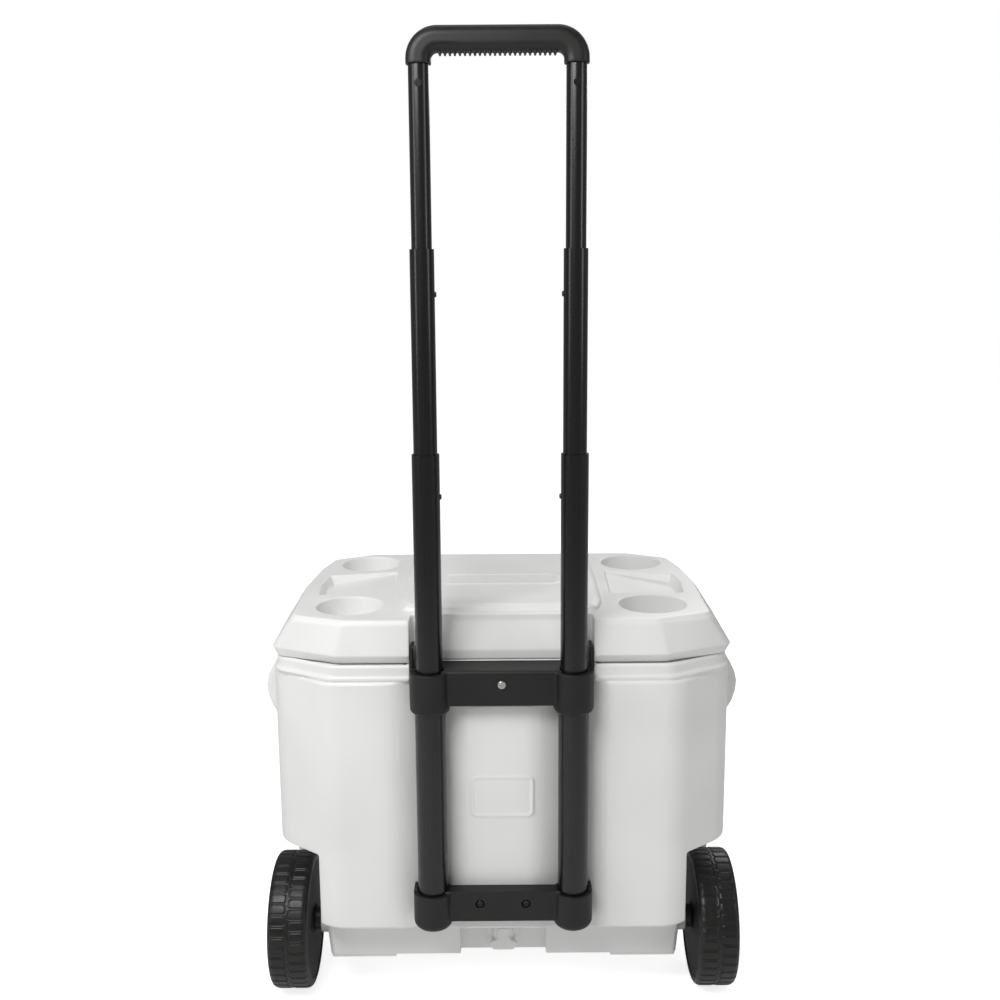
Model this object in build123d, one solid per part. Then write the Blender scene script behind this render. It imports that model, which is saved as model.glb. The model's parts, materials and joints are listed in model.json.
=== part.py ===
from build123d import *
import os

# Wheeled hard cooler with a four-stage telescoping handle.
# Millimetres. X is the width, -Y is the handle and wheel side, +Z is up.
# Depths are written from the lid's near top edge and moved to the row's
# origin, on the floor under the middle of the bounding box, by Y().

# ---- driving dimensions ----
NEAR_REACH = -37.4      # foremost point: the handle bracket sockets
FAR_REACH = 322.0       # rearmost point: the hinge knuckles
DEPTH_MID = (NEAR_REACH + FAR_REACH) / 2

LID_TOP_Z = 454.5       # flat rim of the lid's top
LID_SKIRT_Z = 418.0     # bottom of the lid's outer face
LID_BOTTOM_Z = 408.0
SEAT_Z = 461.0          # raised middle panel
RIM_TOP_Z = 407.5
BODY_TOP_Z = 389.0
BODY_BOTTOM_Z = 106.0
BASE_Z = 50.0           # underside of the tub
FLOOR_Z = 64.0          # inside floor
SHELL = 3.0
GAP = 0.3               # clearance between a foam core and its skins
BEAD_Z = 393.2          # middle of the raised bead round the rim

POST_X = 75.0           # half the spacing of the handle tubes
POST_Y = -16.4          # depth of the tubes' axes
TUBE_OD = (32.0, 28.0, 24.0, 20.0)   # fixed stage first
TUBE_WALL = 1.3
STAGE_TOP = (404.0, 632.0, 833.5)    # open upper ends at full extension
FIXED_TUBE_BOTTOM = 124.0
GUIDE_LEN = 35.0        # fixed guide ring inside each open end
RUN_FIT = 0.05          # radial running clearance of the guides
GRIP_LEG_Z = 1004.5
GRIP_TOP_Z = 1039.0
RIVET_Z = 986.5

NOTCH_X = 96.2          # half width of the lid's handle notch
SOCKET_R = 21.0
HOLLOW_HALF = 50.0      # shallow hollows in the body behind the tubes
HOLLOW_DEPTH = 11.0
HOLLOW_Z = 100.0        # their open lower end
BAR_FACE_Y = -26.0      # near faces of both brackets' bars
UPPER_SCREW_Z = 392.5
LOWER_SCREW_X = 24.7
LOWER_SCREW_Z = 146.0

GRIP_D0 = 104.0         # near and far ends of the side grips
GRIP_D1 = 206.0
PLINTH_TAPER = 5.0      # how far the base narrows to its foot, on each side

WHEEL_R = 76.0
WHEEL_W = 44.0
WHEEL_X = 217.0         # inner side of the wheel
BODY_CORNER = 45.0      # rounding of the body's upright corners
RIM_CORNER = 24.0

AXLE_Y = 72.0
AXLE_Z = 76.0
AXLE_R = 6.0
AXLE_START_X = 188.5    # stub axle, from inside its boss
AXLE_END_X = 262.0
BOSS_X = 210.0          # outer end of the axle's boss
WELL_X = 200.0
WELL_TOP = 190.0

HINGE_Y = 316.0
HINGE_Z = 407.0
HINGE_X = 130.0
LEAF_BACK_Y = 309.2     # hinge leaves lie on the far walls
LEAF_FACE_Y = 312.2
LEAF_HOLE_Z = (378.0, 427.0)         # tub leaf, lid leaf

DRAIN_Z = 78.0
DRAIN_FACE_Y = 41.0     # set-back wall the drain sits in


def Y(depth):
    return depth - DEPTH_MID


def outline(points, radius, z=0.0):
    """A left-right symmetric plan with every corner rounded."""
    right = [(x, Y(d)) for x, d in points]
    left = [(-x, d) for x, d in reversed(right)]
    face = make_face(Polyline(*right, *left, close=True))
    return Pos(0, 0, z) * fillet(face.vertices(), radius)


def prism(points, radius, z0, z1):
    return extrude(outline(points, radius, z0), amount=z1 - z0)


def block(x0, x1, d0, d1, z0, z1):
    return Pos((x0 + x1) / 2, Y((d0 + d1) / 2), (z0 + z1) / 2) * Box(
        x1 - x0, d1 - d0, z1 - z0
    )


def rod(x, d, r, z0, z1):
    return Pos(x, Y(d), (z0 + z1) / 2) * Cylinder(r, z1 - z0)


def ring(x, d, r_out, r_in, z0, z1):
    return rod(x, d, r_out, z0, z1) - rod(x, d, r_in, z0 - 1, z1 + 1)


def rod_x(x0, x1, d, z, r):
    return Pos((x0 + x1) / 2, Y(d), z) * Rot(0, 90, 0) * Cylinder(r, x1 - x0)


def rod_y(x, d0, d1, z, r):
    return Pos(x, Y((d0 + d1) / 2), z) * Rot(90, 0, 0) * Cylinder(r, d1 - d0)


def both(maker):
    """The left and right copies of something made by maker(side)."""
    return maker(-1), maker(1)


def xz_face(points, depth):
    """A face in the X-Z plane at a depth, extruded later along +Y."""
    return make_face(Polyline(*[(x, Y(depth), z) for x, z in points], close=True))


def slab_y(points, d0, d1):
    return extrude(xz_face(points, d0), amount=d1 - d0, dir=(0, 1, 0))


def slab_x(points, x0, x1):
    face = make_face(Polyline(*[(x0, Y(d), z) for d, z in points], close=True))
    return extrude(face, amount=x1 - x0, dir=(1, 0, 0))


def inset(plan, sides, ends=None):
    """A plan moved inwards, its near and far edges by ends."""
    ends = sides if ends is None else ends
    return [(x - sides, d + (ends if d < 100 else -ends)) for x, d in plan]


# ---- plans, near edge first, right half only ----
LID_TOP = [(162.5, 0), (222, 24), (224, 150), (218, 222), (208, 272), (160, 298)]
LID_SKIRT = [(174, -9), (246.5, 27), (248, 150), (242, 228), (228, 284), (172, 309)]
LID_FOOT = [(172, -1.5), (242, 29), (242, 150), (236, 226), (222, 280), (169, 303)]
RIM = [(178, -6.5), (243, 31), (245, 150), (240, 228), (228, 284), (173, 309)]
BODY = [(186, -9.5), (249.5, 40), (249.5, 150), (249.5, 236), (236, 284), (180, 309)]
PLINTH = [(196, 27), (200, 31), (200, 150), (200, 240), (196, 273), (180, 279)]
ROOM = [(185, -6.0), (246, 41), (246, 150), (246, 235), (233, 281), (179, 305.5)]
CAVITY = [(176, -3.2), (239.5, 33.5), (241.5, 150), (236.5, 226), (225, 281), (171, 305.5)]


def opening(grow, z0, z1, far=288.0):
    """The tub's inside above the wheel wells, grown outwards by grow."""
    plan = [
        (206 + grow, 36 - grow),
        (224 + grow, 54 - grow),
        (224 + grow, 150),
        (218 + grow, 224),
        (208 + grow, 268 + grow),
        (190 + grow, far + grow),
    ]
    return prism(plan, 9, z0, z1)


def lower_room(grow, z0, z1):
    """The tub's inside between the wheel wells."""
    plan = [
        (168 + grow, 58 - grow),
        (180 + grow, 68 - grow),
        (182 + grow, 150),
        (182 + grow, 200),
        (178 + grow, 250 + grow),
        (170 + grow, 264 + grow),
    ]
    return prism(plan, 5, z0, z1)


def well(side, grow=0.0):
    """Square-roofed space over a wheel, open outwards, forwards and down."""
    x0, x1 = sorted((side * (WELL_X - grow), side * 300))
    return block(x0, x1, -60, 156 + grow, -20, WELL_TOP + grow)


def hollow_behind(x, grow=0.0):
    """Soft-edged hollow down the near wall, deepest behind a tube."""
    near = BODY[0][1] + grow
    line = [(-1, 0), (-0.7, 0.17), (-0.36, 0.69), (0, 1), (0.36, 0.69), (0.7, 0.17), (1, 0)]
    points = [(x + HOLLOW_HALF * u, Y(near + HOLLOW_DEPTH * v)) for u, v in line]
    back = Spline(*points, tangents=[(1, 0), (1, 0)])
    front = Polyline(points[-1], (points[-1][0], Y(-60)), (points[0][0], Y(-60)), points[0])
    plan = Pos(0, 0, HOLLOW_Z - grow) * make_face([back, front])
    return extrude(plan, amount=BODY_TOP_Z - HOLLOW_Z + 2 * grow)


def channel(grow=0.0):
    """Hollows behind the tubes and the seat of the upper bracket."""
    cut = block(-96.5 - grow, 96.5 + grow, -60, 10.8 + grow, 364 - grow, 470)
    for side in (-1, 1):
        x = side * POST_X
        cut += hollow_behind(x, grow)
        cut += rod(x, POST_Y, SOCKET_R + 0.8 + grow, HOLLOW_Z - grow, 166)
        cut += rod(x, POST_Y, SOCKET_R + 0.8 + grow, 355, 470)
    return cut


def drain_recess(grow=0.0):
    return block(-48 - grow, 48 + grow, -60, DRAIN_FACE_Y + grow, 40, 106)


# ---- tub ----
foot_plan = [(120, 214), (194, 214), (194, 268), (180, 276), (120, 276)]


def far_foot(side):
    """Moulded foot under a far corner, reaching the floor."""
    top = [(side * x, Y(d)) for x, d in foot_plan]
    mid_x, mid_d = side * 158, Y(246)
    low = [(mid_x + 0.9 * (x - mid_x), mid_d + 0.86 * (d - mid_d)) for x, d in top]
    upper = Pos(0, 0, BASE_Z + 6) * make_face(Polyline(*top, close=True))
    lower = make_face(Polyline(*low, close=True))
    return loft([lower, upper], ruled=True)


def plinth(sides, ends, radius, z0, z1):
    """The base under the body, a little narrower at its foot."""
    foot = outline(inset(PLINTH, sides + PLINTH_TAPER, ends + PLINTH_TAPER / 2), radius, z0)
    return loft([foot, outline(inset(PLINTH, sides, ends), radius, z1)], ruled=True)


def finger_pocket(side, grow=0.0):
    """Pocket in the end wall behind the side grip, open at its foot."""
    back, roof, foot = 238 - grow, 351 + grow, 296 - grow
    edge = [(back, roof), (262, roof), (262, foot), (249, foot), (back, foot + 16)]
    return slab_y([(side * x, z) for x, z in edge], GRIP_D0 + 8 - grow, GRIP_D1 - 8 + grow)


def hand_grip(side):
    """Bulging lip on the end wall, held by a cheek at each end."""
    bulge = [(244, 392), (252, 386), (260, 374), (266, 362), (269, 350), (268, 338), (264, 325), (260, 318)]
    inside = [(256.5, 318), (257, 330), (257, 344), (249, 353), (244, 356)]
    body = slab_y([(side * x, z) for x, z in bulge + inside], GRIP_D0, GRIP_D1)
    cheek = [(side * x, z) for x, z in bulge + [(249, 308), (244, 308)]]
    for d0, d1 in ((GRIP_D0, GRIP_D0 + 8), (GRIP_D1 - 8, GRIP_D1)):
        body += slab_y(cheek, d0, d1)
    return body


body_block = prism(BODY, BODY_CORNER, BODY_BOTTOM_Z, BODY_TOP_Z)
body_block = chamfer(body_block.edges().group_by(Axis.Z)[0], 4)
body_block = chamfer(body_block.edges().group_by(Axis.Z)[-1], 2.3)
rim_block = prism(RIM, RIM_CORNER, BODY_TOP_Z - 1, RIM_TOP_Z)
rim_block = chamfer(rim_block.edges().group_by(Axis.Z)[-1], 2.2)
bead_block = prism(inset(RIM, -3.0, -1.8), RIM_CORNER, BEAD_Z - 2.0, BEAD_Z + 2.0)
bead_block = chamfer(bead_block.edges().group_by(Axis.Z)[-1], 1.5)
plinth_block = plinth(0, 0, 3, BASE_Z + 4, BODY_BOTTOM_Z + 2)
corner_pads = block(121, 193.5, 31.5, 60, BASE_Z, BASE_Z + 10)
corner_pads += block(-193.5, -121, 31.5, 60, BASE_Z, BASE_Z + 10)

outer = body_block + rim_block + bead_block + plinth_block + corner_pads
outer += far_foot(-1) + far_foot(1)
outer -= channel() + drain_recess() + well(-1) + well(1)
outer -= finger_pocket(-1) + finger_pocket(1)
outer += hand_grip(-1) + hand_grip(1)
outer += rod_x(WELL_X - 8, BOSS_X, AXLE_Y, AXLE_Z, 16)
outer += rod_x(-BOSS_X, -WELL_X + 8, AXLE_Y, AXLE_Z, 16)

# blank raised frame on the near wall, between the tubes
frame_out = Pos(0, Y(-9.5), 261.7) * Rot(90, 0, 0) * RectangleRounded(66, 45, 6)
frame_in = Pos(0, Y(-9.5), 261.7) * Rot(90, 0, 0) * RectangleRounded(62.5, 41.5, 4.5)
plate_frame = extrude(frame_out - frame_in, amount=2, both=True)
outer += plate_frame & block(-40, 40, -10.4, -8, 235, 292)

# foam space inside the shell
room = prism(ROOM, BODY_CORNER - 4, BODY_BOTTOM_Z + SHELL, BODY_TOP_Z - SHELL)
room += prism(CAVITY, RIM_CORNER - 4, BODY_TOP_Z - SHELL - 1, RIM_TOP_Z + 5)
room += plinth(SHELL, 3.5, 2, BASE_Z + 4 + SHELL, BODY_BOTTOM_Z + 10)
room -= channel(SHELL) + drain_recess(SHELL) + well(-1, SHELL) + well(1, SHELL)
room -= finger_pocket(-1, SHELL) + finger_pocket(1, SHELL)
for s in (-1, 1):
    room -= rod_x(*sorted((s * 187, s * WELL_X)), AXLE_Y, AXLE_Z, 13)
outer_shell = outer - room
for s in (-1, 1):
    outer_shell -= rod_x(*sorted((s * (AXLE_START_X - 0.1), s * 240)), AXLE_Y, AXLE_Z, AXLE_R)

lining = opening(2.5, 205.5, 403) + lower_room(2.5, FLOOR_Z - 2.5, 206)
hollow = opening(0, 208, 460) + lower_room(0, FLOOR_Z, 209)
liner_lip = prism(inset(CAVITY, 1.2), RIM_CORNER - 5, RIM_TOP_Z - 5, RIM_TOP_Z - 1)
liner_lip -= channel(SHELL + 1)
inner_liner = lining + liner_lip - hollow

foam = prism(inset(ROOM, GAP), BODY_CORNER - 4 - GAP, BODY_BOTTOM_Z + SHELL + GAP, BODY_TOP_Z - SHELL - GAP)
foam += prism(inset(CAVITY, GAP), RIM_CORNER - 4 - GAP, BODY_TOP_Z - SHELL - 1, RIM_TOP_Z - 5 - GAP)
foam += plinth(SHELL + GAP, 3.8, 2, BASE_Z + 4 + SHELL + GAP, BODY_BOTTOM_Z + 10)
foam -= channel(SHELL + GAP) + drain_recess(SHELL + GAP) + well(-1, SHELL + GAP) + well(1, SHELL + GAP)
foam -= finger_pocket(-1, SHELL + GAP) + finger_pocket(1, SHELL + GAP)
for s in (-1, 1):
    foam -= rod_x(*sorted((s * 186.7, s * WELL_X)), AXLE_Y, AXLE_Z, 13.3)
foam -= opening(2.8, 205.2, 420) + lower_room(2.8, FLOOR_Z - 2.8, 206)

# drain: flanged spout through the near wall, nut inside, gasket between
drain_hole = rod_y(0, 30, 70, DRAIN_Z, 11.0)
outer_shell -= drain_hole
foam -= rod_y(0, 30, 70, DRAIN_Z, 12.0)
inner_liner -= drain_hole
drain_spout = rod_y(0, DRAIN_FACE_Y - 4, DRAIN_FACE_Y, DRAIN_Z, 18.0)
drain_spout += rod_y(0, DRAIN_FACE_Y - 1, 66.5, DRAIN_Z, 10.9)
drain_spout -= rod_y(0, 30, 70, DRAIN_Z, 8.0)
drain_gasket = rod_y(0, 58.0, 59.5, DRAIN_Z, 13.6) - rod_y(0, 57, 61, DRAIN_Z, 11.0)
drain_nut = rod_y(0, 59.6, 65.5, DRAIN_Z, 13.6) - rod_y(0, 57, 70, DRAIN_Z, 10.9)
drain_plug = rod_y(0, DRAIN_FACE_Y - 9, DRAIN_FACE_Y - 4.3, DRAIN_Z, 11.5)
drain_plug += rod_y(0, DRAIN_FACE_Y - 5, 62, DRAIN_Z, 7.95)
half_strap = [(6.4, 85), (6.2, 74), (8.5, 71), (15.2, 68), (15.8, 64), (10.5, 59.2)]
strap = half_strap + [(-x, z) for x, z in reversed(half_strap)]
drain_plug += slab_y(strap, DRAIN_FACE_Y - 12, DRAIN_FACE_Y - 8)

# screw and hinge holes are cut below, once those parts exist

# ---- lid ----
lid_block = loft(
    [
        outline(LID_FOOT, 14, LID_BOTTOM_Z),
        outline(LID_SKIRT, 14, LID_SKIRT_Z),
        outline(inset(LID_TOP, -4.0, -2.5), 14, LID_TOP_Z - 5),
        outline(LID_TOP, 14, LID_TOP_Z),
    ],
    ruled=True,
)
seat_plan = [(104, 34), (109, 60), (110, 150), (109, 230), (106, 258), (92, 270)]
seat_top = [(98, 41), (103, 62), (104, 150), (103, 228), (100, 252), (88, 263)]
seat_sections = [
    outline(seat_plan, 6, LID_TOP_Z - 1),
    outline(seat_plan, 6, SEAT_Z - 3),
    outline(seat_top, 5, SEAT_Z),
]
seat = loft(seat_sections, ruled=True)
notch = [(-20, 300), (-20, 500), (24, 500), (22, 448), (10.8, 418), (10.8, 300)]


def notch_cut(grow=0.0):
    pts = [(d + (grow if d > 0 else 0), z) for d, z in notch]
    return slab_x(pts, -NOTCH_X - grow, NOTCH_X + grow)


CUPS = [(165, 58), (161, 248)]
CUP_R = 36.5
CUP_DEPTH = 28.0
TRAY = [(122, 104), (206, 104), (209, 150), (205, 190), (124, 207)]


def tray_cut(side, grow=0.0, depth=10.5):
    pts = [(side * (x + (grow if x > 150 else -grow)), d + (grow if d > 150 else -grow)) for x, d in TRAY]
    top = make_face(Polyline(*[(x, Y(d), LID_TOP_Z + 1) for x, d in pts], close=True))
    cx, cd = side * 166, 148
    low = [(cx + 0.88 * (x - cx), cd + 0.90 * (d - cd)) for x, d in pts]
    bottom = make_face(Polyline(*[(x, Y(d), LID_TOP_Z - depth - grow) for x, d in low], close=True))
    scoop = loft([bottom, top], ruled=True)
    inner, outer_end = LID_TOP_Z - 2.5 - grow, LID_TOP_Z - depth - grow
    ramp = [(110, inner), (125, inner), (198, outer_end), (225, outer_end), (225, 480), (110, 480)]
    return scoop & slab_y([(side * x, z) for x, z in ramp], 80, 220)


def cup_cut(side, x, d, grow=0.0):
    """A cup holder, a little wider at its mouth."""
    middle = LID_TOP_Z + 0.5 - CUP_DEPTH / 2
    return Pos(side * x, Y(d), middle) * Cone(35.0 + grow, CUP_R + grow, CUP_DEPTH + 1 + 2 * grow)


lid_solid = lid_block + seat - notch_cut()
lid_room = prism(inset(LID_FOOT, 4.5), 9, LID_BOTTOM_Z - 3, LID_TOP_Z - 4)
room_foot = outline(inset(LID_SKIRT, 4), 10, LID_BOTTOM_Z - 4)
lid_room &= loft([room_foot, outline(inset(LID_TOP, 6), 10, LID_TOP_Z)], ruled=True)
lid_room += prism(inset(seat_plan, 6), 4, LID_TOP_Z - 8, SEAT_Z - 4)
lid_room -= notch_cut(SHELL)
for s in (-1, 1):
    lid_solid -= tray_cut(s)
    lid_room -= tray_cut(s, SHELL)
    for x, d in CUPS:
        lid_solid -= cup_cut(s, x, d)
        lid_room -= cup_cut(s, x, d, SHELL)
# blank raised plaque on the middle panel
plaque = extrude(Pos(0, Y(144), SEAT_Z - 1) * RectangleRounded(132, 46, 8), amount=2.2)
plaque -= extrude(Pos(0, Y(144), SEAT_Z + 0.3) * RectangleRounded(124, 38, 6), amount=3)
lid_solid += plaque
for x in (-HINGE_X, HINGE_X):
    lid_solid += block(x - 24, x + 24, 296, 309, 412, 438)
lid_shell = lid_solid - lid_room

PLUG = [(202, 41), (219, 58), (219, 150), (213, 222), (204, 265), (187, 283)]
lid_flange = prism(inset(LID_FOOT, 4.8), 9, LID_BOTTOM_Z, LID_BOTTOM_Z + 2.5)
lid_flange -= notch_cut(SHELL + 0.3)
lid_dish = prism(PLUG, 8, 397, LID_BOTTOM_Z + 1)
lid_liner = lid_flange + lid_dish - prism(inset(PLUG, 2.5), 6, 399.5, 440)
lid_foam = lid_room & block(-300, 300, -50, 400, LID_BOTTOM_Z + 2.8, 500)
lid_foam += prism(inset(PLUG, 2.8), 6, 399.8, LID_BOTTOM_Z + 3)

# ---- lid hinges on the far side ----


def hinge_body_leaf(side):
    x = side * HINGE_X
    leaf = block(x - 22, x + 22, LEAF_BACK_Y, LEAF_FACE_Y, 362, 400)
    leaf += rod_x(x - 8, x + 8, HINGE_Y, HINGE_Z, 6)
    leaf += slab_x([(309.2, 396), (312.2, 396), (321.5, 404), (318, 409), (309.9, 404)], x - 8, x + 8)
    leaf -= rod_x(x - 30, x + 30, HINGE_Y, HINGE_Z, 2.55)
    for dx in (-14, 14):
        leaf -= rod_y(x + dx, 300, 330, LEAF_HOLE_Z[0], 2.2)
    return leaf


def hinge_lid_leaf(side):
    x = side * HINGE_X
    leaf = block(x - 22, x + 22, LEAF_BACK_Y, LEAF_FACE_Y, 412.5, 438)
    for x0, x1 in ((x - 22, x - 8.4), (x + 8.4, x + 22)):
        leaf += rod_x(x0, x1, HINGE_Y, HINGE_Z, 6)
        leaf += slab_x([(309.2, 414), (312.2, 416), (321.5, 410), (318, 405), (311, 410)], x0, x1)
    leaf -= rod_x(x - 30, x + 30, HINGE_Y, HINGE_Z, 2.55)
    for dx in (-14, 14):
        leaf -= rod_y(x + dx, 300, 330, LEAF_HOLE_Z[1], 2.2)
    return leaf


def screw_y(x, d_head, z, head_r, shank_r, length, out):
    """Domed screw along Y; out is -1 when its head faces -Y."""
    head = rod_y(x, *sorted((d_head, d_head + out * 2.2)), z, head_r)
    outer_face = head.faces().sort_by(Axis.Y)[0 if out < 0 else -1]
    head = fillet(outer_face.edges(), 1.4)
    shank = rod_y(x, *sorted((d_head, d_head - out * length)), z, shank_r)
    return head + shank


hinge_screw_x = [s * HINGE_X + dx for s in (-1, 1) for dx in (-14, 14)]
hinge_screws_body = [screw_y(x, LEAF_FACE_Y, LEAF_HOLE_Z[0], 4.0, 2.2, 11, 1) for x in hinge_screw_x]
hinge_screws_lid = [screw_y(x, LEAF_FACE_Y, LEAF_HOLE_Z[1], 4.0, 2.2, 11, 1) for x in hinge_screw_x]
hinge_pins = [rod_x(s * HINGE_X - 23, s * HINGE_X + 23, HINGE_Y, HINGE_Z, 2.5) for s in (-1, 1)]
for x in hinge_screw_x:
    outer_shell -= rod_y(x, 300, 312, LEAF_HOLE_Z[0], 2.2)
    outer_shell -= block(x - 23, x + 23, 309.05, 313, BEAD_Z - 4, BEAD_Z + 6)
    foam -= rod_y(x, 290, 312, LEAF_HOLE_Z[0], 2.6)
    lid_shell -= rod_y(x, 290, 312, LEAF_HOLE_Z[1], 2.2)
    lid_foam -= rod_y(x, 290, 312, LEAF_HOLE_Z[1], 2.6)

# ---- handle brackets ----
fixed_r = TUBE_OD[0] / 2
cross_up = [
    (-75, 407), (75, 407), (75, 364.8), (59, 364.8), (56.5, 366.5), (53.5, 369),
    (-53.5, 369), (-56.5, 366.5), (-59, 364.8), (-75, 364.8),
]
upper_bracket = slab_y(cross_up, BAR_FACE_Y, 10.4)
upper_bracket = chamfer(upper_bracket.edges().filter_by(Axis.X).group_by(Axis.Y)[0].sort_by(Axis.Z)[-1], 2.0)
for s in (-1, 1):
    cup = rod(s * POST_X, POST_Y, SOCKET_R, 361, 405)
    upper_bracket += fillet(cup.edges().sort_by(Axis.Z)[0], 4)
    upper_bracket += block(*sorted((s * 91.6, s * 95.2)), -14, 9, 386, 429)
lower_bracket = slab_y([(-75, 160.5), (75, 160.5), (75, 126), (-75, 126)], BAR_FACE_Y, -9.8)
for s in (-1, 1):
    cup = rod(s * POST_X, POST_Y, SOCKET_R, 117, 158.5)
    cup = fillet(cup.edges().sort_by(Axis.Z)[0], 9)
    lower_bracket += cup
    lower_bracket += block(*sorted((s * 86, s * 95.5)), -20, -4, 140, 161.5)
for s in (-1, 1):
    upper_bracket -= rod(s * POST_X, POST_Y, fixed_r, 350, 402.2)
    upper_bracket -= rod(s * POST_X, POST_Y, TUBE_OD[1] / 2 + 0.6, 390, 430)
    lower_bracket -= rod(s * POST_X, POST_Y, fixed_r, FIXED_TUBE_BOTTOM, 170)
    upper_bracket -= rod_x(*sorted((s * 50, s * 62)), POST_Y, STAGE_TOP[0] - 43.5, 4.2)
upper_screw = screw_y(0, BAR_FACE_Y, UPPER_SCREW_Z, 4.4, 2.4, 46, -1)
upper_bracket -= rod_y(0, -30, 20, UPPER_SCREW_Z, 2.4)
outer_shell -= rod_y(0, 8, 17, UPPER_SCREW_Z, 2.4)
foam -= rod_y(0, 8, 24, UPPER_SCREW_Z, 2.8)
lower_screws = []
for s in (-1, 1):
    lower_screws.append(screw_y(s * LOWER_SCREW_X, -23, LOWER_SCREW_Z, 3.6, 2.2, 22, -1))
    lower_bracket -= rod_y(s * LOWER_SCREW_X, -30, -23, LOWER_SCREW_Z, 4.8)
    lower_bracket -= rod_y(s * LOWER_SCREW_X, -30, 0, LOWER_SCREW_Z, 2.2)
    outer_shell -= rod_y(s * LOWER_SCREW_X, -12, -1, LOWER_SCREW_Z, 2.2)
    foam -= rod_y(s * LOWER_SCREW_X, -10, 2, LOWER_SCREW_Z, 2.6)

# ---- telescoping tubes ----


def inner_r(stage):
    return TUBE_OD[stage] / 2 - TUBE_WALL


BUTTON_Z = [top - 43.5 for top in STAGE_TOP]


def tube(side, stage, z0, z1):
    x = side * POST_X
    body = ring(x, POST_Y, TUBE_OD[stage] / 2, inner_r(stage), z0, z1)
    if stage < 3:
        toward = -side
        hole = rod_x(*sorted((x, x + toward * 20)), POST_Y, BUTTON_Z[stage], 3.1)
        body -= hole
    return body


STAGE_BOTTOM = [FIXED_TUBE_BOTTOM] + [top - 37.0 for top in STAGE_TOP]
STAGE_END = list(STAGE_TOP) + [1020.0]
STAGE_END[0] = 402.0
tubes = [both(lambda s, n=n: tube(s, n, STAGE_BOTTOM[n], STAGE_END[n])) for n in range(4)]


def guide_ring(side, stage):
    """Fixed guide inside the open end of a tube, for the next tube to run in."""
    top = STAGE_END[stage]
    x = side * POST_X
    return ring(x, POST_Y, inner_r(stage), TUBE_OD[stage + 1] / 2 + RUN_FIT, top - GUIDE_LEN, top - 0.5)


def slider(side, stage):
    """Nylon shoe on the bottom end of a moving tube, running in the one below."""
    x = side * POST_X
    top = STAGE_TOP[stage - 1] - 37.0
    shoe = rod(x, POST_Y, inner_r(stage - 1) - RUN_FIT, top - 13, top)
    shoe += rod(x, POST_Y, inner_r(stage), top - 1, top + 13.5)
    shoe -= rod(x, POST_Y, inner_r(stage) - 3.2, top - 20, top + 20)
    toward = -side
    return shoe - rod_x(*sorted((x, x + toward * 20)), POST_Y, BUTTON_Z[stage - 1], 2.9)


def snap_button(side, stage):
    """Sprung button through the shoe and the hole in the tube outside it."""
    x = side * POST_X
    toward = -side
    reach = TUBE_OD[stage - 1] / 2 + 1.6
    start = inner_r(stage) - 4.6
    pin = rod_x(*sorted((x + toward * start, x + toward * reach)), POST_Y, BUTTON_Z[stage - 1], 2.8)
    tip = pin.faces().sort_by(Axis.X)[-1 if toward > 0 else 0]
    pin = fillet(tip.edges(), 1.3)
    x0, x1 = sorted((x + toward * (start - 0.5), x + toward * (start + 0.6)))
    half = 2.5
    leaf = Pos((x0 + x1) / 2, Y(POST_Y), BUTTON_Z[stage - 1]) * Box(x1 - x0, 2 * half, 11)
    return pin + leaf


guides = [[guide_ring(s, n) for s in (-1, 1)] for n in range(3)]
shoes = [[slider(s, n) for s in (-1, 1)] for n in (1, 2, 3)]
buttons = [[snap_button(s, n) for s in (-1, 1)] for n in (1, 2, 3)]

# crimp dimples that hold the guide rings are pressed in at the open ends
for n in (1, 2):
    for i, s in enumerate((-1, 1)):
        pair = list(tubes[n])
        for drop in (14.5, 28.0):
            for d in (-1, 1):
                x = s * POST_X + d * (TUBE_OD[n] / 2 + 0.9)
                pair[i] -= Pos(x, Y(POST_Y), STAGE_END[n] - drop) * Sphere(1.7)
        tubes[n] = tuple(pair)

# ---- grip ----
sweep_path = FilletPolyline(
    (-POST_X, Y(POST_Y), GRIP_LEG_Z),
    (-POST_X, Y(POST_Y), GRIP_TOP_Z - 12.0),
    (POST_X, Y(POST_Y), GRIP_TOP_Z - 12.0),
    (POST_X, Y(POST_Y), GRIP_LEG_Z),
    radius=18,
)
profile = Plane(origin=(-POST_X, Y(POST_Y), GRIP_LEG_Z), z_dir=(0, 0, 1)) * RectangleRounded(24, 25, 9)
grip = sweep(profile, path=sweep_path)
for s in (-1, 1):
    grip -= rod(s * POST_X, POST_Y, TUBE_OD[3] / 2, 1000, 1020)
ridges = []
for n in range(24):
    x = (n - 11.5) * 4.75
    ridges.append(Pos(x, Y(POST_Y), GRIP_TOP_Z - 24.2) * Box(2.3, 15, 4.4))
for r in ridges:
    grip += r
grip_rivets = []
for s in (-1, 1):
    head = rod_y(s * POST_X, POST_Y - 11.2, POST_Y - 9.2, RIVET_Z, 3.6)
    shank = rod_y(s * POST_X, POST_Y - 9.6, POST_Y + 9.6, RIVET_Z, 2.0)
    grip_rivets.append(head + shank)
top_pair = []
core_pair = []
for i, s in enumerate((-1, 1)):
    hole = rod_y(s * POST_X, POST_Y - 12, POST_Y + 9.7, RIVET_Z, 2.0)
    seat_cut = rod_y(s * POST_X, POST_Y - 14, POST_Y - 9.2, RIVET_Z, 3.6)
    top_pair.append(tubes[3][i] - hole - seat_cut)
    # tongue of the grip inside each top tube, held by the rivet
    core_pair.append(rod(s * POST_X, POST_Y, inner_r(3) - 0.05, 976, 1021) - hole)
tubes[3] = tuple(top_pair)
for c in core_pair:
    grip += c

# ---- wheels ----


def wheel_x(side, inner, outer):
    return sorted((side * inner, side * outer))


X_IN, X_OUT = WHEEL_X, WHEEL_X + WHEEL_W


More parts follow.
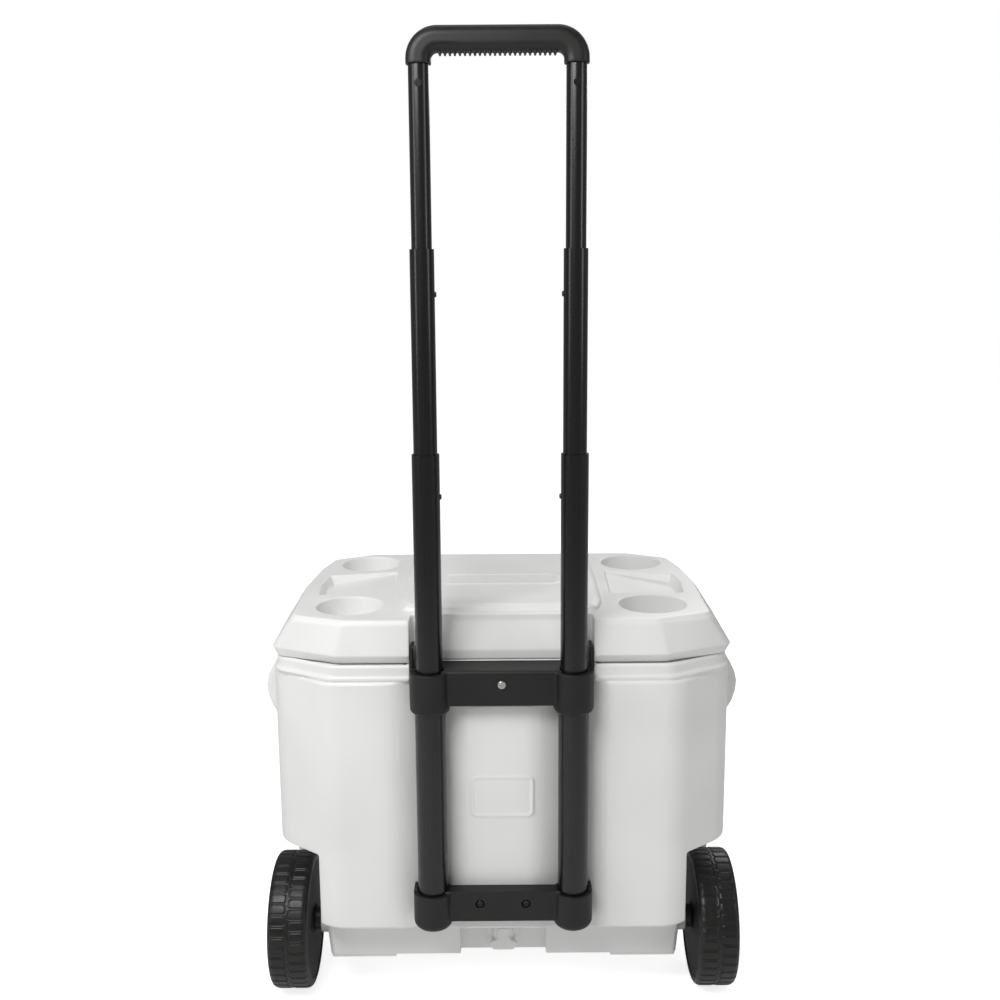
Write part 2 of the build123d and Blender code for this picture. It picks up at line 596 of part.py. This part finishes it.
def wheel_hub(side):
    """Drum with a recessed outer disc, spokes' ribs and a bore boss."""
    hub = rod_x(*wheel_x(side, X_IN + 1, X_OUT - 1), AXLE_Y, AXLE_Z, 66)
    hub -= rod_x(*wheel_x(side, X_IN + 16, X_OUT + 2), AXLE_Y, AXLE_Z, 59)
    for n in range(6):
        rib = Pos(side * (X_IN + 26), 0, 0) * Box(26, 6, 44)
        rib = Pos(0, 0, 37) * rib
        hub += Pos(0, Y(AXLE_Y), AXLE_Z) * Rot(60 * n, 0, 0) * rib
    hub += rod_x(*wheel_x(side, X_IN, X_OUT - 3), AXLE_Y, AXLE_Z, 16)
    return hub - rod_x(*wheel_x(side, X_IN - 5, X_OUT + 5), AXLE_Y, AXLE_Z, AXLE_R + 0.06)


def wheel_tread(side):
    """Tread band with two staggered rows of blocks."""
    core = rod_x(*wheel_x(side, X_IN, X_OUT), AXLE_Y, AXLE_Z, WHEEL_R - 2.6)
    for row, shift in ((0, 0.0), (1, 4.5)):
        x0 = X_IN + 2.0 + row * 21.0
        for n in range(40):
            pad = Pos(side * (x0 + 9.5), 0, WHEEL_R - 2.9) * Box(19, 9.0, 5.6)
            core += Pos(0, Y(AXLE_Y), AXLE_Z) * Rot(9 * n + shift, 0, 0) * pad
    core &= rod_x(*wheel_x(side, X_IN, X_OUT), AXLE_Y, AXLE_Z, WHEEL_R)
    return core - rod_x(*wheel_x(side, X_IN - 5, X_OUT + 5), AXLE_Y, AXLE_Z, 66)


def axle_pin(side):
    """Stub axle pressed into the boss in the well's wall."""
    return rod_x(*wheel_x(side, AXLE_START_X, AXLE_END_X), AXLE_Y, AXLE_Z, AXLE_R)


def collar(side, inner, outer, radius, bore_end):
    """A ring pushed onto a stub axle, bored as far as bore_end."""
    solid = rod_x(*wheel_x(side, inner, outer), AXLE_Y, AXLE_Z, radius)
    return solid - rod_x(*wheel_x(side, WELL_X, bore_end), AXLE_Y, AXLE_Z, AXLE_R)


axle_washers = both(lambda s: collar(s, BOSS_X + 0.2, WHEEL_X - 0.4, 13, WHEEL_X))
axle_caps = both(lambda s: collar(s, X_OUT - 2.6, X_OUT + 2.5, 11, AXLE_END_X))

# ---- export ----
nodes = {
    "outer_shell": outer_shell,
    "tub_foam": foam,
    "inner_liner": inner_liner,
    "drain_spout": drain_spout,
    "drain_gasket": drain_gasket,
    "drain_nut": drain_nut,
    "drain_plug": drain_plug,
    "lid_shell": lid_shell,
    "lid_foam": lid_foam,
    "lid_liner": lid_liner,
    "hinge_body_leaf_left": hinge_body_leaf(-1),
    "hinge_body_leaf_right": hinge_body_leaf(1),
    "hinge_lid_leaf_left": hinge_lid_leaf(-1),
    "hinge_lid_leaf_right": hinge_lid_leaf(1),
    "hinge_pins": hinge_pins,
    "hinge_screws_body": hinge_screws_body,
    "hinge_screws_lid": hinge_screws_lid,
    "upper_bracket": upper_bracket,
    "lower_bracket": lower_bracket,
    "upper_bracket_screw": upper_screw,
    "lower_bracket_screws": lower_screws,
    "grip": grip,
    "grip_rivets": grip_rivets,
    "axle_pin_left": axle_pin(-1),
    "axle_pin_right": axle_pin(1),
    "axle_washers": axle_washers,
    "axle_caps": axle_caps,
    "wheel_hub_left": wheel_hub(-1),
    "wheel_hub_right": wheel_hub(1),
    "wheel_tread_left": wheel_tread(-1),
    "wheel_tread_right": wheel_tread(1),
}
for name, pair in zip(("fixed", "second", "third", "top"), tubes):
    nodes[name + "_tube_left"], nodes[name + "_tube_right"] = pair
for name, pair in zip(("fixed", "second", "third"), guides):
    nodes[name + "_tube_guides"] = pair
for name, shoe_pair, button_pair in zip(("second", "third", "top"), shoes, buttons):
    nodes[name + "_tube_shoes"] = shoe_pair
    nodes[name + "_snap_buttons"] = button_pair

os.makedirs("parts", exist_ok=True)
for name, shape in nodes.items():
    if isinstance(shape, (list, tuple)):
        shape = Compound(children=list(shape))
    export_step(shape, f"parts/{name}.step")
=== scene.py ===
import bpy
import bmesh
import json
import math
from mathutils import Vector, Matrix


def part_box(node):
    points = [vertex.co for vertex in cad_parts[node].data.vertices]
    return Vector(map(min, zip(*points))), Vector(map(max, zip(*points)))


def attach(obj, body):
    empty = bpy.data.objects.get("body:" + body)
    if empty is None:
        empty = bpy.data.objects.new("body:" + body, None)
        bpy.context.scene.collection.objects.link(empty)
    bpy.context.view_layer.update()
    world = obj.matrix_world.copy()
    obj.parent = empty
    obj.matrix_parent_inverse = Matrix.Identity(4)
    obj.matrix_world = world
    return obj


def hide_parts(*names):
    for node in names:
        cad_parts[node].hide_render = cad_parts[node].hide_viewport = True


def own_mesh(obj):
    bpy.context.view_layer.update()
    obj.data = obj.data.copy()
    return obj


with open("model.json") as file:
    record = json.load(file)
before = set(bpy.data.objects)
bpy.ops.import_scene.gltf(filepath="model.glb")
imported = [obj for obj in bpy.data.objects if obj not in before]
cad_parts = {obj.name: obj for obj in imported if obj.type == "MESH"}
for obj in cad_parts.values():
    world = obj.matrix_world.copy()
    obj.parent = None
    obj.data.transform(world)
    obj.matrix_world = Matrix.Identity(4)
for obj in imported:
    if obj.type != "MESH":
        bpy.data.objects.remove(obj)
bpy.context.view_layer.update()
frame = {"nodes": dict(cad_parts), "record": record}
cad = frame["nodes"]
MM = 0.001
# Metres, as in the frame: +Y runs away from the handle side, +Z up, and the
# middle of the chest is x = 0. New pieces take their places from the CAD nodes.


# ---------------------------------------------------------------- materials


def linear(hex_colour):
    """sRGB hex to the linear values shaders use."""
    out = []
    for n in (0, 2, 4):
        c = int(hex_colour[n:n + 2], 16) / 255
        out.append(c / 12.92 if c <= 0.04045 else ((c + 0.055) / 1.055) ** 2.4)
    return (*out, 1.0)


def add(tree, kind, settings, links=()):
    """A node with its settings, and links given as (input, source socket)."""
    node = tree.nodes.new(kind)
    for key, value in settings.items():
        if isinstance(key, int) or key in node.inputs:
            node.inputs[key].default_value = value
        else:
            setattr(node, key, value)
    for key, source in links:
        tree.links.new(source, node.inputs[key])
    return node


def new_material(name, surface):
    """An empty tree holding one Principled shader with constant sockets."""
    material = bpy.data.materials.new(name)
    material.use_nodes = True
    tree = material.node_tree
    tree.nodes.clear()
    shader = add(tree, "ShaderNodeBsdfPrincipled", surface)
    add(tree, "ShaderNodeOutputMaterial", {}, [("Surface", shader.outputs[0])])
    place = add(tree, "ShaderNodeTexCoord", {}).outputs["Object"]
    return material, tree, shader, place


def grain(tree, place, size_mm, detail=2.0, roughness=0.5):
    """Noise whose bumps are about size_mm across."""
    return add(
        tree, "ShaderNodeTexNoise",
        {"Scale": 1 / (size_mm * MM), "Detail": detail, "Roughness": roughness},
        [("Vector", place)],
    ).outputs["Fac"]


def blend_colour(tree, fac, low, high, start=0.35, end=0.65):
    ramp = add(tree, "ShaderNodeValToRGB", {}, [("Fac", fac)])
    first, last = ramp.color_ramp.elements[0], ramp.color_ramp.elements[-1]
    first.position, last.position = start, end
    first.color, last.color = linear(low), linear(high)
    return ramp.outputs["Color"]


def spread(tree, fac, low, high):
    """A number that runs from low to high with fac."""
    return add(
        tree, "ShaderNodeMapRange",
        {"From Min": 0.3, "From Max": 0.7, "To Min": low, "To Max": high},
        [("Value", fac)],
    ).outputs["Result"]


def press_bumps(tree, shader, layers):
    """Bump layers from (height socket, strength, depth in mm), first one deepest."""
    normal = None
    for height, strength, depth_mm in layers:
        links = [("Height", height)]
        if normal is not None:
            links.append(("Normal", normal))
        normal = add(
            tree, "ShaderNodeBump",
            {"Strength": strength, "Distance": depth_mm * MM}, links,
        ).outputs["Normal"]
    tree.links.new(normal, shader.inputs["Normal"])


def moulded_polyethylene():
    """White HDPE, injection moulded in a fine spark-eroded tool: a soft satin
    sheen broken up by a 0.9 mm grain, with faint flow waves in the big walls."""
    material, tree, shader, place = new_material(
        "white_hdpe_moulded", {"IOR": 1.54, "Metallic": 0.0}
    )
    flow = grain(tree, place, 90, 1.0)
    tint = blend_colour(tree, flow, "E4E4E2", "E9E9E8")
    skin = grain(tree, place, 0.9, 3.0, 0.6)
    tree.links.new(tint, shader.inputs["Base Color"])
    tree.links.new(spread(tree, skin, 0.34, 0.46), shader.inputs["Roughness"])
    press_bumps(tree, shader, [(flow, 0.35, 0.6), (skin, 0.12, 0.05)])
    return material


def liner_polyethylene():
    """Food-grade HDPE tub lining, formed over a polished tool: smoother and a
    touch cooler than the outside."""
    material, tree, shader, place = new_material(
        "white_hdpe_lining", {"IOR": 1.54}
    )
    haze = grain(tree, place, 40, 2.0)
    tree.links.new(blend_colour(tree, haze, "E9EAEA", "ECEDED"), shader.inputs["Base Color"])
    tree.links.new(spread(tree, haze, 0.27, 0.31), shader.inputs["Roughness"])
    press_bumps(tree, shader, [(haze, 0.12, 0.12)])
    return material


def urethane_foam():
    """Rigid polyurethane poured between the skins: cream, open cells 0.8 mm."""
    material, tree, shader, place = new_material("polyurethane_foam_poured", {"IOR": 1.5})
    cells = add(
        tree, "ShaderNodeTexVoronoi", {"Scale": 1 / (0.8 * MM)}, [("Vector", place)]
    ).outputs["Distance"]
    cream = blend_colour(tree, cells, "C9B778", "E9DFAE", 0.1, 0.7)
    tree.links.new(cream, shader.inputs["Base Color"])
    tree.links.new(spread(tree, cells, 0.8, 0.95), shader.inputs["Roughness"])
    press_bumps(tree, shader, [(cells, 0.6, 0.3)])
    return material


def bracket_polypropylene():
    """Black glass-filled polypropylene, injection moulded: a matt stippled
    skin at 0.7 mm with a dull grey bloom."""
    material, tree, shader, place = new_material("black_polypropylene_moulded", {"IOR": 1.46})
    stipple = grain(tree, place, 0.7, 3.0, 0.65)
    bloom = grain(tree, place, 35, 2.0)
    tree.links.new(blend_colour(tree, bloom, "0C0C0C", "121211"), shader.inputs["Base Color"])
    tree.links.new(spread(tree, stipple, 0.42, 0.58), shader.inputs["Roughness"])
    press_bumps(tree, shader, [(bloom, 0.2, 0.3), (stipple, 0.3, 0.06)])
    return material


def grip_polypropylene():
    """Black polypropylene grip, moulded with a leathery 1.6 mm grain and a
    soft sheen where hands polish it."""
    material, tree, shader, place = new_material("black_grip_moulded", {"IOR": 1.46})
    pebble = add(
        tree, "ShaderNodeTexVoronoi",
        {"feature": "SMOOTH_F1", "Scale": 1 / (1.6 * MM)}, [("Vector", place)],
    ).outputs["Distance"]
    rub = grain(tree, place, 28, 2.0)
    tree.links.new(blend_colour(tree, rub, "0F0F0E", "151413"), shader.inputs["Base Color"])
    tree.links.new(spread(tree, rub, 0.38, 0.52), shader.inputs["Roughness"])
    press_bumps(tree, shader, [(pebble, 0.18, 0.08)])
    return material


def tube_enamel():
    """Stove-enamelled steel tube: glossy black with an orange-peel skin at
    3 mm and the hazier streaks that sliding leaves along the length."""
    material, tree, shader, place = new_material(
        "black_stove_enamel", {"IOR": 1.46, "Coat Weight": 0.15, "Coat Roughness": 0.14}
    )
    peel = grain(tree, place, 3.0, 1.0)
    along = add(tree, "ShaderNodeMapping", {"Scale": (1.0, 1.0, 0.012)}, [("Vector", place)])
    streak = grain(tree, along.outputs[0], 1.2, 3.0)
    tree.links.new(blend_colour(tree, streak, "090909", "0D0D0C"), shader.inputs["Base Color"])
    tree.links.new(spread(tree, streak, 0.24, 0.29), shader.inputs["Roughness"])
    press_bumps(tree, shader, [(peel, 0.05, 0.04)])
    return material


def tread_polyethylene():
    """Black polyethylene wheel, blow moulded: waxy, with paler patches where
    the ground has scuffed it and a 1.2 mm mould grain."""
    material, tree, shader, place = new_material("black_polyethylene_tread", {"IOR": 1.46})
    skin = grain(tree, place, 1.2, 3.0, 0.6)
    scuff = grain(tree, place, 14, 4.0, 0.7)
    worn = blend_colour(tree, scuff, "0D0D0C", "161513", 0.4, 0.75)
    tree.links.new(worn, shader.inputs["Base Color"])
    tree.links.new(spread(tree, scuff, 0.3, 0.46), shader.inputs["Roughness"])
    press_bumps(tree, shader, [(scuff, 0.15, 0.2), (skin, 0.2, 0.06)])
    return material


def stainless_steel():
    """Stainless screw stock, cold headed and tumbled: bright with a fine
    0.5 mm satin scatter."""
    material, tree, shader, place = new_material("stainless_tumbled", {"Metallic": 1.0})
    tumble = grain(tree, place, 0.5, 2.0)
    tree.links.new(blend_colour(tree, tumble, "B9B8B4", "CDCCC8"), shader.inputs["Base Color"])
    tree.links.new(spread(tree, tumble, 0.2, 0.34), shader.inputs["Roughness"])
    press_bumps(tree, shader, [(tumble, 0.1, 0.02)])
    return material


def zinc_plate():
    """Drawn steel with bright zinc plating: axle stubs and caps, with drawing
    lines along X at 0.4 mm and a bluish cast."""
    material, tree, shader, place = new_material("zinc_plated_steel", {"Metallic": 1.0})
    along = add(tree, "ShaderNodeMapping", {"Scale": (0.02, 1.0, 1.0)}, [("Vector", place)])
    lines = grain(tree, along.outputs[0], 0.4, 2.0)
    tree.links.new(blend_colour(tree, lines, "A7ABAE", "BEC1C2"), shader.inputs["Base Color"])
    tree.links.new(spread(tree, lines, 0.26, 0.4), shader.inputs["Roughness"])
    press_bumps(tree, shader, [(lines, 0.15, 0.02)])
    return material


def nylon():
    """Black nylon bushes and shoes, injection moulded: waxy satin, 0.8 mm grain."""
    material, tree, shader, place = new_material("black_nylon_moulded", {"IOR": 1.53})
    skin = grain(tree, place, 0.8, 2.0)
    tree.links.new(blend_colour(tree, skin, "1A1A1B", "202021"), shader.inputs["Base Color"])
    tree.links.new(spread(tree, skin, 0.36, 0.48), shader.inputs["Roughness"])
    press_bumps(tree, shader, [(skin, 0.15, 0.04)])
    return material


def oxide_steel():
    """Hardened steel blackened in hot oxide and oiled: dark, with small sharp
    glints broken by a 0.4 mm tumbled texture."""
    material, tree, shader, place = new_material("black_oxide_steel", {"Metallic": 1.0})
    tumble = grain(tree, place, 0.4, 2.0)
    tree.links.new(blend_colour(tree, tumble, "35353A", "4A4A4C"), shader.inputs["Base Color"])
    tree.links.new(spread(tree, tumble, 0.24, 0.36), shader.inputs["Roughness"])
    press_bumps(tree, shader, [(tumble, 0.12, 0.02)])
    return material


def seal_rubber():
    """EPDM drain gasket, compression moulded: dead matt, 0.6 mm speckle."""
    material, tree, shader, place = new_material("epdm_rubber_seal", {"IOR": 1.52})
    speck = grain(tree, place, 0.6, 2.0)
    tree.links.new(blend_colour(tree, speck, "1B1B1B", "242424"), shader.inputs["Base Color"])
    tree.links.new(spread(tree, speck, 0.75, 0.9), shader.inputs["Roughness"])
    press_bumps(tree, shader, [(speck, 0.3, 0.05)])
    return material


finishes = {
    "white_shell": moulded_polyethylene(),
    "white_liner": liner_polyethylene(),
    "foam": urethane_foam(),
    "black_plastic": bracket_polypropylene(),
    "black_tube": tube_enamel(),
    "tread_plastic": tread_polyethylene(),
    "steel": stainless_steel(),
    "nylon": nylon(),
    "seal": seal_rubber(),
}
special = {
    "grip": grip_polypropylene(),
    "axle_pin_left": zinc_plate(),
}
for name in ("axle_pin_right", "axle_caps"):
    special[name] = special["axle_pin_left"]
MOVING_STAGES = ("second", "third", "top")
special["lower_bracket_screws"] = oxide_steel()
for stage in MOVING_STAGES:
    special[stage + "_snap_buttons"] = special["lower_bracket_screws"]
slot_of = {row["node"]: row["material_slot"] for row in frame["record"]["subparts"]}


def finish_of(node):
    return special.get(node) or finishes[slot_of[node]]


for name, obj in cad.items():
    obj.data.materials.clear()
    obj.data.materials.append(finish_of(name))


# ---------------------------------------------------------------- helpers


def put_in_scene(name, mesh, material, body, slot):
    obj = bpy.data.objects.new(name, mesh)
    bpy.context.scene.collection.objects.link(obj)
    if material is not None:
        mesh.materials.clear()
        mesh.materials.append(material)
    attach(obj, body)
    return obj


def baked(obj):
    """Replaces an object's mesh with what its modifiers make of it."""
    bpy.context.view_layer.update()
    view = bpy.context.evaluated_depsgraph_get()
    mesh = bpy.data.meshes.new_from_object(obj.evaluated_get(view), depsgraph=view)
    obj.modifiers.clear()
    obj.data = mesh
    return obj


def softened(node, voxel_mm, rounds, body):
    """A moulding's visible skin: the CAD solid's copy with every edge eased."""
    mesh = cad[node].data.copy()
    work = bmesh.new()
    work.from_mesh(mesh)
    bmesh.ops.remove_doubles(work, verts=work.verts, dist=0.01 * MM)
    work.to_mesh(mesh)
    work.free()
    obj = put_in_scene(node + "_skin", mesh, finish_of(node), body, slot_of[node])
    skin = obj.modifiers.new("skin", "REMESH")
    skin.mode = "VOXEL"
    skin.voxel_size = voxel_mm * MM
    skin.use_smooth_shade = True
    ease = obj.modifiers.new("ease", "SMOOTH")
    ease.factor = 0.5
    ease.iterations = rounds
    baked(obj)
    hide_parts(node)
    return obj


# ---------------------------------------------------------------- mouldings

SIDES = ("left", "right")

# voxel_mm sets how fine a skin is, rounds how far its edges are eased
softened("outer_shell", voxel_mm=1.1, rounds=4, body="tub")
softened("lid_shell", voxel_mm=1.1, rounds=4, body="lid")
softened("inner_liner", voxel_mm=2.0, rounds=4, body="tub")
softened("lid_liner", voxel_mm=2.0, rounds=3, body="lid")
softened("upper_bracket", voxel_mm=0.8, rounds=3, body="tub")
softened("lower_bracket", voxel_mm=0.8, rounds=3, body="tub")
softened("grip", voxel_mm=0.7, rounds=2, body="handle_top")
softened("drain_plug", voxel_mm=0.5, rounds=3, body="drain_plug")
softened("drain_spout", voxel_mm=0.5, rounds=2, body="tub")
softened("axle_caps", voxel_mm=0.5, rounds=3, body="tub")
for side in SIDES:
    softened("wheel_hub_" + side, voxel_mm=0.9, rounds=3, body="wheel_" + side)
    softened("hinge_body_leaf_" + side, voxel_mm=0.6, rounds=2, body="tub")
    softened("hinge_lid_leaf_" + side, voxel_mm=0.6, rounds=2, body="lid")

# ---------------------------------------------------------------- wheels

LUGS = 40               # lugs in one row
LUG_HALF_MM = 4.3       # half a lug's width along the rolling direction
LUG_START_MM = 2.4      # from the middle of the tread to a lug's inner end
LUG_CORNER_MM = 2.3
GROOVE_MM = 1.1         # groove moulded round each lug
GROOVE_DEEP_MM = 1.3
SHOULDER_MM = 8.5       # how far in from each edge the tread rounds over
SHOULDER_DROP_MM = 6.0
SHOULDER_POWER = 2.6    # above 2 the shoulder stays flat longer and turns faster
LAND_MM = 0.35          # how far the band between the lugs lies below their tops
BAND_MM = 10.0          # thickness of the band over the hub
STEPS_PER_LUG = 20
STEPS_ACROSS = 74
CROWDING = 0.96         # towards 1 the steps crowd at the tread's edges


def lug_distance(along, across, pitch):
    """Signed distance to the nearest lug's outline, negative on the lug."""
    row_shift = 0.0 if across > 0 else 0.5
    along = (along / pitch + row_shift + 0.5) % 1.0 - 0.5
    x = abs(along * pitch)
    past_side = x - (LUG_HALF_MM - LUG_CORNER_MM)
    past_end = LUG_START_MM + LUG_CORNER_MM - abs(across)
    outside = math.hypot(max(past_side, 0), max(past_end, 0))
    return outside + min(max(past_side, past_end), 0) - LUG_CORNER_MM


def tread_height(along, across, half_width, pitch):
    """Height in mm from the wheel's full radius, never above it."""
    away = lug_distance(along, across, pitch)
    edge = min(abs(away - GROOVE_MM / 2) / (GROOVE_MM / 2) - 0.35, 1.0)
    lift = max(edge, 0.0)
    lift = lift * lift * (3 - 2 * lift)
    inward = abs(across) - (half_width - SHOULDER_MM)
    drop = 0.0
    if inward > 0:
        share = min(inward / SHOULDER_MM, 1.0)
        drop = SHOULDER_DROP_MM * (1 - math.sqrt(max(1 - share ** SHOULDER_POWER, 0.0)))
    fade = max(0.0, 1.0 - max(inward, 0.0) / SHOULDER_MM)
    land = LAND_MM if away > GROOVE_MM else 0.0
    return GROOVE_DEEP_MM * ((lift - 1) * fade ** 0.5) - land * fade - drop


def tread(side):
    """Moulded tread band: two staggered rows of lugs, a zig-zag rib between."""
    node = "wheel_tread_" + side
    low, high = (Vector(v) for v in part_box(node))
    middle = (low + high) / 2
    radius = (high.z - low.z) / 2 / MM
    half_width = (high.x - low.x) / 2 / MM
    pitch = 2 * math.pi * radius / LUGS
    turns = LUGS * STEPS_PER_LUG
    outward = -1 if side == "left" else 1
    widest = math.sin(math.pi / 2 * CROWDING)
    form = bmesh.new()
    rings = []
    for i in range(turns):
        angle = 2 * math.pi * i / turns
        along = pitch * LUGS * i / turns
        profile = []
        for j in range(STEPS_ACROSS + 1):
            share = 2 * j / STEPS_ACROSS - 1
            across = half_width * math.sin(math.pi / 2 * share * CROWDING) / widest
            profile.append((across, radius + tread_height(along, across, half_width, pitch)))
        inner = radius - BAND_MM
        profile += [(half_width, inner), (-half_width, inner)]
        line = []
        for across, r in profile:
            line.append(form.verts.new((
                middle.x + outward * across * MM,
                middle.y + r * math.cos(angle) * MM,
                middle.z + r * math.sin(angle) * MM,
            )))
        rings.append(line)
    count = len(rings[0])
    for i in range(turns):
        here, after = rings[i], rings[(i + 1) % turns]
        for j in range(count):
            k = (j + 1) % count
            form.faces.new((here[j], here[k], after[k], after[j]))
    bmesh.ops.recalc_face_normals(form, faces=form.faces)
    mesh = bpy.data.meshes.new(node + "_lugs")
    form.to_mesh(mesh)
    form.free()
    mesh.shade_smooth()
    obj = put_in_scene(node + "_lugs", mesh, finish_of(node), "wheel_" + side, slot_of[node])
    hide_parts(node)


for side in SIDES:
    tread(side)

# ---------------------------------------------------------------- screws

RECESS_ARM_MM = 1.15    # width of one arm of a cross recess
RECESS_DEEP_MM = 1.5
RECESS_SHARE = 0.56     # length of an arm as a share of the head's width
WELD_MM = 0.005


def islands(form):
    """The separate closed pieces of a mesh, as lists of vertices."""
    left = set(form.verts)
    while left:
        seed = left.pop()
        piece, edge = [seed], [seed]
        while edge:
            for link in edge.pop().link_edges:
                for vert in link.verts:
                    if vert in left:
                        left.discard(vert)
                        piece.append(vert)
                        edge.append(vert)
        yield piece


def cross_driven(node, body, outward):
    """Screws along Y with a cross recess pressed into each head."""
    mesh = cad[node].data.copy()
    form = bmesh.new()
    form.from_mesh(mesh)
    bmesh.ops.remove_doubles(form, verts=form.verts, dist=WELD_MM * MM)
    form.to_mesh(mesh)
    heads = []
    for piece in islands(form):
        xs, ys, zs = ([v.co[n] for v in piece] for n in range(3))
        crown = max(ys) if outward > 0 else min(ys)
        span = max(zs) - min(zs)
        heads.append((Vector(((max(xs) + min(xs)) / 2, crown, (max(zs) + min(zs)) / 2)), span))
    form.free()
    obj = put_in_scene(node + "_driven", mesh, finish_of(node), body, slot_of[node])
    arms = []
    narrow = RECESS_ARM_MM * MM
    for centre, span in heads:
        long = span * RECESS_SHARE
        for wide, tall in ((long, narrow), (narrow, long)):
            arm = bmesh.new()
            size = Matrix.Diagonal((wide, 2 * RECESS_DEEP_MM * MM, tall, 1))
            bmesh.ops.create_cube(arm, size=1, matrix=Matrix.Translation(centre) @ size)
            arm_mesh = bpy.data.meshes.new("recess_arm")
            arm.to_mesh(arm_mesh)
            arm.free()
            cutter = bpy.data.objects.new("recess_arm", arm_mesh)
            bpy.context.scene.collection.objects.link(cutter)
            arms.append(cutter)
            cut = obj.modifiers.new("recess", "BOOLEAN")
            cut.operation, cut.solver, cut.object = "DIFFERENCE", "EXACT", cutter
    baked(obj)
    for cutter in arms:
        bpy.data.objects.remove(cutter)
    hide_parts(node)


cross_driven("upper_bracket_screw", "tub", -1)
cross_driven("lower_bracket_screws", "tub", -1)
cross_driven("hinge_screws_body", "tub", 1)
cross_driven("hinge_screws_lid", "lid", 1)

# ---------------------------------------------------------------- snap buttons


def snap_button(stage, side):
    """One sprung button: this side's half of the stage's buttons, riding on its stage."""
    node = stage + "_snap_buttons"
    sign = -1 if side == "left" else 1
    form = bmesh.new()
    form.from_mesh(cad[node].data)
    other = [v for v in form.verts if v.co.x * sign < 0]
    bmesh.ops.delete(form, geom=other, context="VERTS")
    mesh = bpy.data.meshes.new(node + "_" + side)
    form.to_mesh(mesh)
    form.free()
    obj = put_in_scene(mesh.name, mesh, finish_of(node), "handle_" + stage, slot_of[node])
    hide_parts(node)
    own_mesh(obj)


for stage in MOVING_STAGES:
    for side in SIDES:
        snap_button(stage, side)

# ---------------------------------------------------------------- studio

AIR_LIGHT = 0.27        # strength of the white surroundings as light
PAPER_GLOW = 0.76       # added where the eye sees the floor, so that it runs out to white
FLOOR_HALF = 14
FLOOR_DROP = 0.0004     # keeps the floor's face clear of the wheels and feet


def area_light(name, place, target, size, power, colour="FFFFFF"):
    lamp = bpy.data.lights.new(name, "AREA")
    lamp.shape = "RECTANGLE"
    lamp.size, lamp.size_y = size
    lamp.energy = power
    lamp.color = linear(colour)[:3]
    obj = bpy.data.objects.new(name, lamp)
    bpy.context.scene.collection.objects.link(obj)
    obj.location = place
    obj.rotation_euler = (Vector(target) - Vector(place)).to_track_quat("-Z", "Y").to_euler()
    return obj


def sweep_floor():
    mesh = bpy.data.meshes.new("studio_floor")
    form = bmesh.new()
    bmesh.ops.create_grid(form, x_segments=4, y_segments=4, size=FLOOR_HALF)
    form.to_mesh(mesh)
    form.free()
    obj = bpy.data.objects.new("studio_floor", mesh)
    bpy.context.scene.collection.objects.link(obj)
    obj.location = (0, 0, -FLOOR_DROP)
    paper, tree, shader, place = new_material("studio_paper_matt", {"Roughness": 0.9, "IOR": 1.4})
    fibre = grain(tree, place, 300, 2.0)
    tree.links.new(blend_colour(tree, fibre, "F6F6F6", "F9F9F9"), shader.inputs["Base Color"])
    seen = add(tree, "ShaderNodeLightPath", {}).outputs["Is Camera Ray"]
    glow = add(tree, "ShaderNodeMath", {"operation": "MULTIPLY", 1: PAPER_GLOW}, [(0, seen)])
    shader.inputs["Emission Color"].default_value = linear("FFFFFF")
    tree.links.new(glow.outputs[0], shader.inputs["Emission Strength"])
    mesh.materials.append(paper)


def studio_air():
    """White surroundings: full white to the eye, softer as light."""
    world = bpy.data.worlds.new("studio_air")
    bpy.context.scene.world = world
    world.use_nodes = True
    tree = world.node_tree
    air = tree.nodes["Background"]
    air.inputs["Color"].default_value = linear("FFFFFF")
    seen = add(tree, "ShaderNodeLightPath", {}).outputs["Is Camera Ray"]
    strength = add(
        tree, "ShaderNodeMapRange", {"To Min": AIR_LIGHT, "To Max": 1.0}, [("Value", seen)]
    ).outputs["Result"]
    tree.links.new(strength, air.inputs["Strength"])


sweep_floor()
studio_air()
area_light("key", (-0.5, -0.95, 1.35), (0, -0.1, 0.4), (0.7, 0.5), 12.5)
area_light("strip_left", (-1.7, -1.0, 1.2), (0, 0, 0.85), (0.35, 1.2), 6)
area_light("strip_right", (1.7, -1.0, 1.2), (0, 0, 0.85), (0.35, 1.2), 5)
area_light("top", (0, 0.5, 2.4), (0, 0.1, 0.3), (1.6, 1.2), 5)
area_light("behind", (0.9, 2.0, 1.7), (0, 0.1, 0.3), (1.2, 0.9), 13)
bpy.context.scene.view_settings.view_transform = "Standard"
bpy.context.scene.view_settings.look = "None"

# the eye stands in front of the handle, above the chest, and looks down at it
EYE_PLACE = (-0.0005, -1.3563, 0.814)
EYE_DOWN_DEG = 10.83
EYE_ROLL_DEG = -0.38
LENS_MM = 43.45
SENSOR_MM = 36
lens = bpy.data.cameras.new("eye")
lens.lens = LENS_MM
lens.sensor_width = SENSOR_MM
eye = bpy.data.objects.new("eye", lens)
bpy.context.scene.collection.objects.link(eye)
eye.location = EYE_PLACE
tilt = Matrix.Rotation(math.radians(90 - EYE_DOWN_DEG), 3, "X")
roll = Matrix.Rotation(math.radians(EYE_ROLL_DEG), 3, "Z")
eye.rotation_euler = (tilt @ roll).to_euler()
bpy.context.scene.camera = eye
